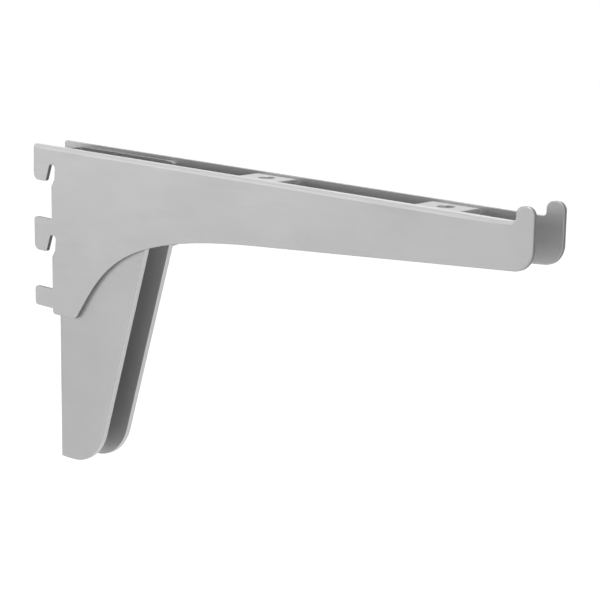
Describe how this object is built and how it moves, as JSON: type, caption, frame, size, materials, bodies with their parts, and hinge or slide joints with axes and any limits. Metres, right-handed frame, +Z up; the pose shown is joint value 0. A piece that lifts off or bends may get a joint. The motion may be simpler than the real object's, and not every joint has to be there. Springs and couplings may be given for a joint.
{
  "type": "shelf bracket",
  "caption": "Double-plate steel shelf bracket that hooks into a slotted wall upright and is propped by a deep folded brace.",
  "frame": {"origin": "on the rear edge of the side plates, which meets the slotted upright, level with the shelf seat and midway between the plates", "axes": "+X from the wall to the front lip, +Y across the plates to the right-hand plate, +Z up"},
  "size_m": [0.2202, 0.0158, 0.1181],
  "materials": {
    "plated_steel": "satin zinc plating"
  },
  "bodies": {
    "root": {"side_plate_left": "plated_steel", "side_plate_right": "plated_steel", "rear_bridge": "plated_steel", "front_bridge": "plated_steel", "brace_channel": "plated_steel"}
  },
  "joints": []
}
